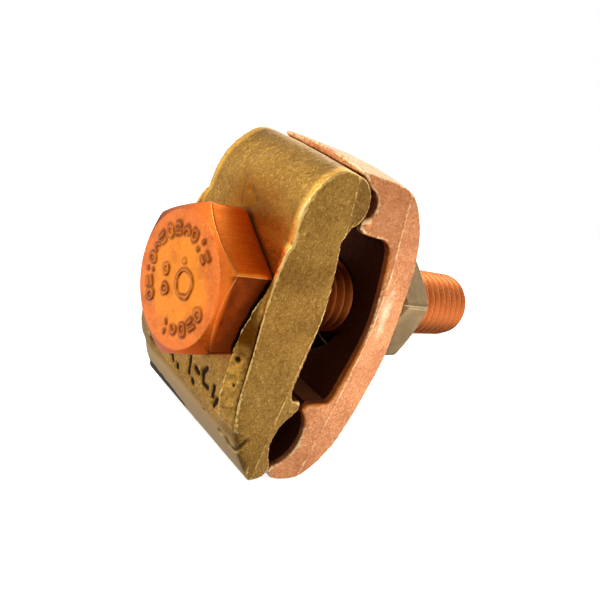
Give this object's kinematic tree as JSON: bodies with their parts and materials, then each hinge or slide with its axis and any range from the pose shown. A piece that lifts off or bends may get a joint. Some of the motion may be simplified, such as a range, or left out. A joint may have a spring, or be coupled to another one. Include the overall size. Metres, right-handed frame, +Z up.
{
  "type": "ground clamp",
  "caption": "Two-jaw bronze ground clamp: a hex bolt held between ribs pulls a hinged rear jaw shut on a conductor groove.",
  "frame": {"origin": "middle of the conductor groove, halfway across the jaws", "axes": "+X along the bolt from its head to its threaded end, +Y along the groove, +Z up towards the heel where the jaws hinge"},
  "size_m": [0.0641, 0.0302, 0.0465],
  "materials": {
    "olive_bronze": "sand-cast, tumbled, dull olive gold",
    "copper_bronze": "sand-cast, tumbled, pink copper",
    "silicon_bronze": "satin, orange copper",
    "nut_bronze": "satin, dull olive brown"
  },
  "bodies": {
    "front_half": {"front_jaw": "olive_bronze", "hex_bolt": "silicon_bronze"},
    "rear_half": {"rear_jaw": "copper_bronze"},
    "washer": {"lock_washer": "nut_bronze"},
    "nut": {"hex_nut": "nut_bronze"}
  },
  "joints": [
    {"name": "nut_turn", "type": "hinge", "parent": "washer", "child": "nut", "pos_m": [0.0192, 0, 0.0174], "axis": [1, 0, 0], "range_deg": [0, 720]},
    {"name": "washer_slide", "type": "slide", "parent": "front_half", "child": "washer", "axis": [1, 0, 0], "range_m": [0, 0.00392]},
    {"name": "jaw_swing", "type": "hinge", "parent": "front_half", "child": "rear_half", "pos_m": [-0.0016, 0, 0.0345], "axis": [0, -1, 0], "range_deg": [0, 7.9]}
  ],
  "couplings": [
    {"joint": "washer_slide", "follows": "nut_turn", "m_per_rad": 0.00031097},
    {"joint": "jaw_swing", "follows": "nut_turn", "ratio": 0.010911}
  ]
}
